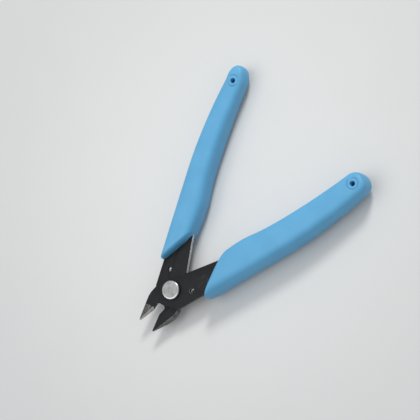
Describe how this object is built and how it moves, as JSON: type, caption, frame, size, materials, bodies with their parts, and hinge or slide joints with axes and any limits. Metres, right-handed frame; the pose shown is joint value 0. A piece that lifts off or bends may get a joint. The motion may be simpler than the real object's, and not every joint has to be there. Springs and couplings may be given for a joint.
{
  "type": "flush cut pliers",
  "caption": "Flush cut pliers: lapped black steel plates on a flat rivet, with a wire return spring, ground cutting jaws and soft curved blue grips.",
  "frame": {"origin": "centre of the pivot rivet's flat tail face", "axes": "+Z along the pivot axis towards the rivet's head, +Y along the middle of the open handles, jaws towards -Y"},
  "size_m": [0.0896, 0.1209, 0.0151],
  "materials": {
    "black_steel": "black oxide, satin, bare where it is ground",
    "blue_grip": "soft dipped, satin",
    "bright_steel": "turned, semi-bright",
    "spring_wire": "drawn wire"
  },
  "bodies": {
    "lower_arm": {"lower_plate": "black_steel", "lower_grip": "blue_grip", "pivot_rivet": "bright_steel", "return_spring": "spring_wire"},
    "upper_arm": {"upper_plate": "black_steel", "upper_grip": "blue_grip"}
  },
  "joints": [
    {"name": "pivot_hinge", "type": "hinge", "parent": "lower_arm", "child": "upper_arm", "pos_m": [0, 0, 0.0058], "axis": [0, 0, 1], "range_deg": [0, 22], "stiffness_Nm_per_rad": 0.4, "springref_deg": -8.59, "deforming": ["return_spring"]}
  ]
}
